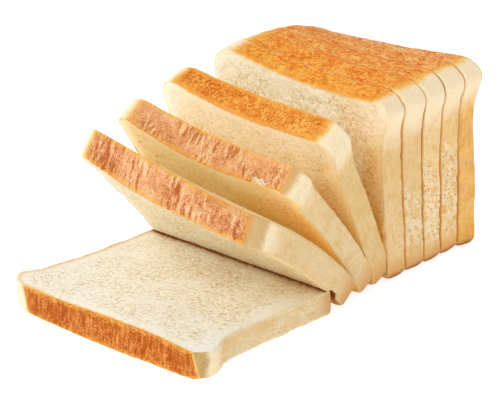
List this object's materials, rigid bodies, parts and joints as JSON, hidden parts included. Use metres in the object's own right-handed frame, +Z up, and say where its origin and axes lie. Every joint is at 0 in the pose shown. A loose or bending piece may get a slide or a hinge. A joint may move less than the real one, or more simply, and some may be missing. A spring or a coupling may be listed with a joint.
{
  "type": "sliced tin loaf",
  "caption": "Square-topped sandwich tin loaf in slices: one lies flat in front, three lean forward in a fan and the rest stand together up to the heel.",
  "frame": {"origin": "middle of the whole footprint, on the surface that the bread stands on", "axes": "+Z up, +Y along the loaf from the flat slice towards the heel, +X across the slices"},
  "size_m": [0.1342, 0.2176, 0.1019],
  "materials": {
    "crumb": "open cream-white crumb with a thin golden crust round the edge",
    "crust": "baked golden-brown crust, dry and slightly glossy"
  },
  "bodies": {
    "root": {"slice_1": "crumb", "slice_2": "crumb", "slice_3": "crumb", "slice_4": "crumb", "slice_5": "crumb", "slice_6": "crumb", "slice_7": "crumb", "slice_8": "crumb", "slice_9": "crust"}
  },
  "joints": []
}
